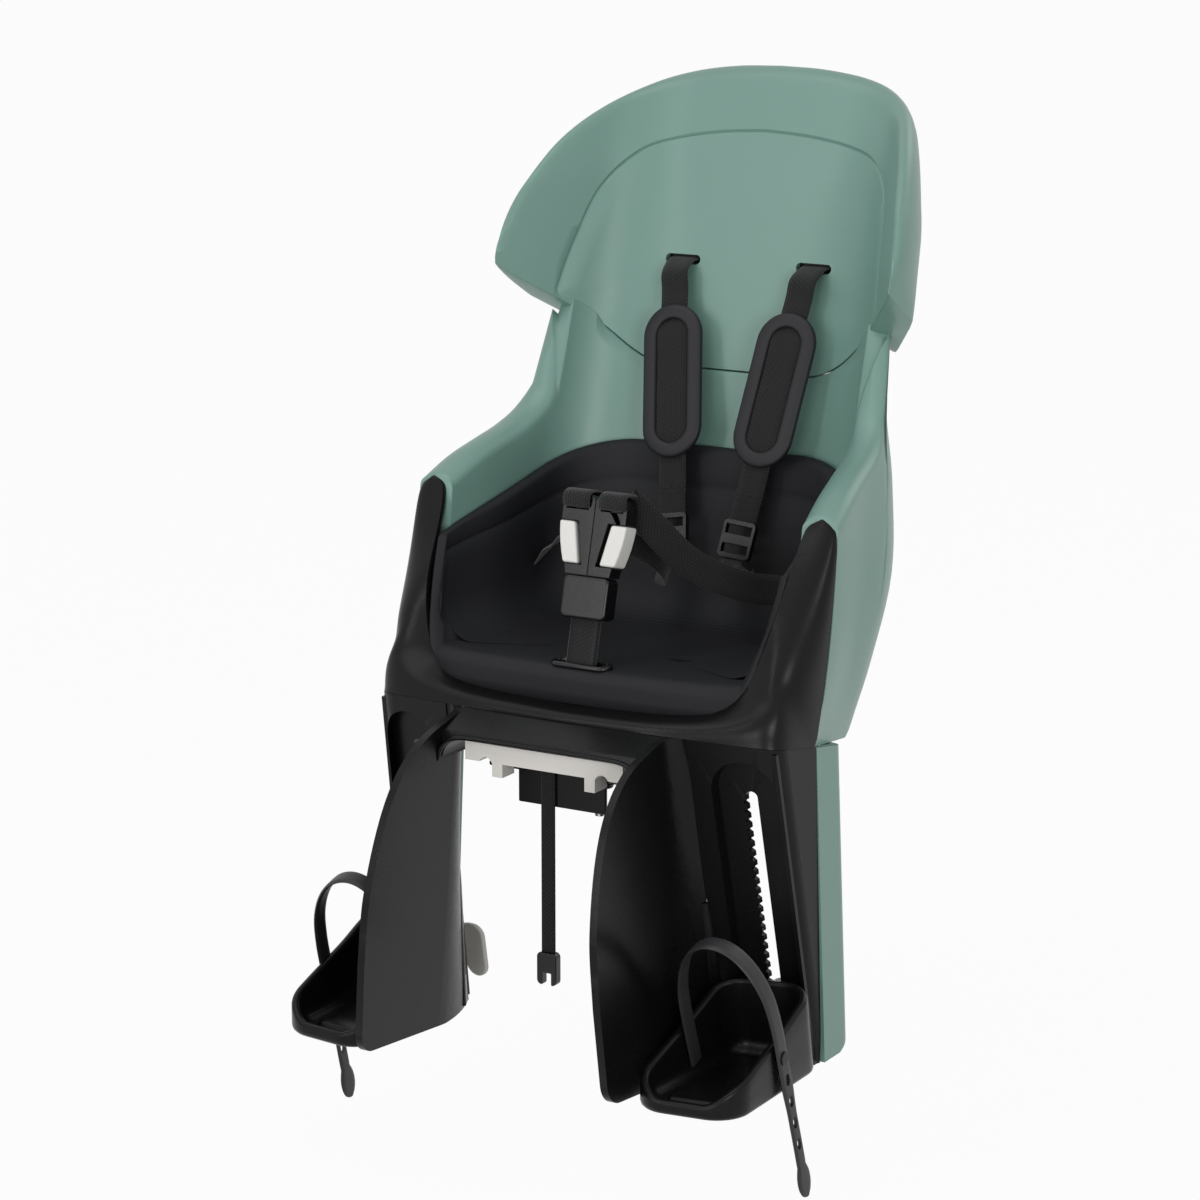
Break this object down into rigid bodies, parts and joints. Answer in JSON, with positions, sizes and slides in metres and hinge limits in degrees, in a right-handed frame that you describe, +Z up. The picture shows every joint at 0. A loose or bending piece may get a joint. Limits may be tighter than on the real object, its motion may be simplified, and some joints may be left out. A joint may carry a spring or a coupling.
{
  "type": "rear child bike seat",
  "caption": "Rear child bike seat for a luggage carrier: reclined shell with winged headrest, seat pad, harness, legs with sliding foot trays and a rail clamp below.",
  "frame": {"origin": "midway between the two carrier rails, level with the underside of the clamp bars", "axes": "+Z up, the child faces -Y, X runs across the seat"},
  "size_m": [0.432, 0.4883, 0.8464],
  "materials": {
    "shell_green": "satin moulded sage green",
    "frame_black": "satin moulded black",
    "pad_grey": "soft matt dark grey foam",
    "webbing_black": "woven",
    "ring_rubber": "matt",
    "strap_rubber": "matt",
    "clip_black": "glossy",
    "button_grey": "satin",
    "clamp_grey": "satin",
    "clamp_black": "satin black",
    "bright_steel": "plain"
  },
  "bodies": {
    "seat": {"headrest_shell": "shell_green", "back_shell": "shell_green", "front_bezel": "frame_black", "seat_pad": "pad_grey", "leg_frame": "frame_black", "strap_keeper": "bright_steel", "buckle_sleeve": "clip_black", "crotch_post": "webbing_black", "crotch_plate": "clip_black", "carrier_base": "frame_black", "saddle_front": "clamp_grey", "saddle_rear": "clamp_grey", "clamp_screw": "bright_steel", "base_screws": "bright_steel", "safety_strap": "webbing_black", "safety_buckle": "clip_black", "leg_cover_left": "shell_green", "shoulder_strap_left": "webbing_black", "shoulder_pad_left": "ring_rubber", "strap_adjuster_left": "clip_black", "lap_strap_left": "webbing_black", "buckle_tongue_left": "clip_black", "button_spring_left": "bright_steel", "leg_cover_right": "shell_green", "shoulder_strap_right": "webbing_black", "shoulder_pad_right": "ring_rubber", "strap_adjuster_right": "clip_black", "lap_strap_right": "webbing_black", "buckle_tongue_right": "clip_black", "button_spring_right": "bright_steel"},
    "clamp_plate": {"clamp_plate": "clamp_black"},
    "clamp_knob": {"clamp_knob": "frame_black"},
    "foot_rest_left": {"foot_tray_left": "frame_black", "lock_stem_left": "clamp_grey", "foot_strap_left": "strap_rubber", "strap_peg_left": "frame_black"},
    "lock_lever_left": {"lock_lever_left": "clamp_grey"},
    "buckle_button_left": {"buckle_button_left": "button_grey"},
    "foot_rest_right": {"foot_tray_right": "frame_black", "lock_stem_right": "clamp_grey", "foot_strap_right": "strap_rubber", "strap_peg_right": "frame_black"},
    "lock_lever_right": {"lock_lever_right": "clamp_grey"},
    "buckle_button_right": {"buckle_button_right": "button_grey"}
  },
  "joints": [
    {"name": "foot_rest_slide_left", "type": "slide", "parent": "seat", "child": "foot_rest_left", "axis": [0.0422, -0.1865, 0.9815], "range_m": [0, 0.144]},
    {"name": "lock_lever_turn_left", "type": "hinge", "parent": "foot_rest_left", "child": "lock_lever_left", "pos_m": [-0.16176, 0.00368, -0.193], "axis": [-0.1399, -0.9739, -0.179], "range_deg": [0, 90]},
    {"name": "buckle_press_left", "type": "slide", "parent": "seat", "child": "buckle_button_left", "axis": [1, 0, 0], "range_m": [0, 0.0025], "stiffness_N_per_m": 2000, "springref_m": -0.001},
    {"name": "foot_rest_slide_right", "type": "slide", "parent": "seat", "child": "foot_rest_right", "axis": [-0.0422, -0.1865, 0.9815], "range_m": [0, 0.144]},
    {"name": "lock_lever_turn_right", "type": "hinge", "parent": "foot_rest_right", "child": "lock_lever_right", "pos_m": [0.16176, 0.00368, -0.193], "axis": [-0.1399, 0.9739, 0.179], "range_deg": [0, 90]},
    {"name": "buckle_press_right", "type": "slide", "parent": "seat", "child": "buckle_button_right", "axis": [-1, 0, 0], "range_m": [0, 0.0025], "stiffness_N_per_m": 2000, "springref_m": -0.001},
    {"name": "clamp_plate_slide", "type": "slide", "parent": "seat", "child": "clamp_plate", "axis": [0, 0, -1], "range_m": [0, 0.01]},
    {"name": "clamp_knob_turn", "type": "hinge", "parent": "clamp_plate", "child": "clamp_knob", "pos_m": [0, 0, -0.02], "axis": [0, 0, -1], "range_deg": [0, 2881]}
  ],
  "couplings": [
    {"joint": "clamp_knob_turn", "follows": "clamp_plate_slide", "rad_per_m": 5026.5}
  ]
}
